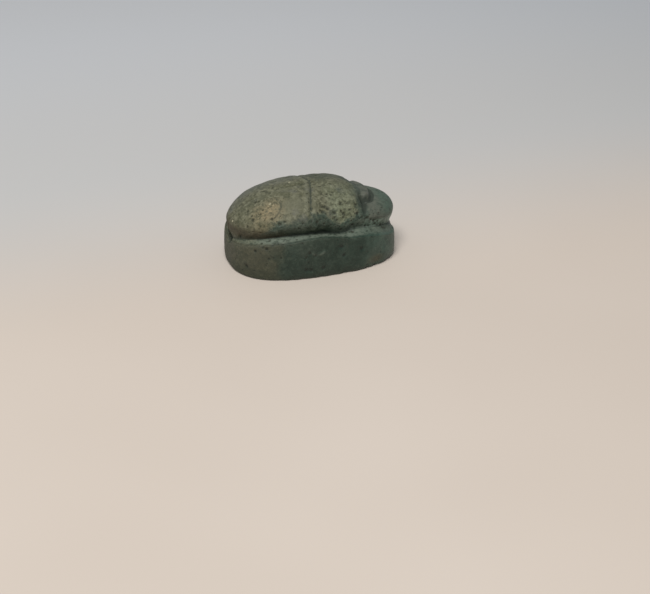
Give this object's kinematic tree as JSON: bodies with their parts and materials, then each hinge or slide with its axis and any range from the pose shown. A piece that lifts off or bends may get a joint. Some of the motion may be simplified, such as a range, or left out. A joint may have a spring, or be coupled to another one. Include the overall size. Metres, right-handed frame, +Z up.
{
  "type": "scarab amulet",
  "caption": "Small stone amulet carved as a beetle lying on an oval base, with a groove between body and base, a flat plain underside and a lengthwise piercing for stringing.",
  "frame": {"origin": "middle of the flat underside of the base", "axes": "+X along the beetle towards its head, +Z up through its back, +Y across to its left flank"},
  "size_m": [0.0226, 0.015, 0.0102],
  "materials": {
    "stone": "worn matt dark green stone with an olive brown patina on the back and fine dark pits"
  },
  "bodies": {
    "root": {"scarab": "stone"}
  },
  "joints": []
}
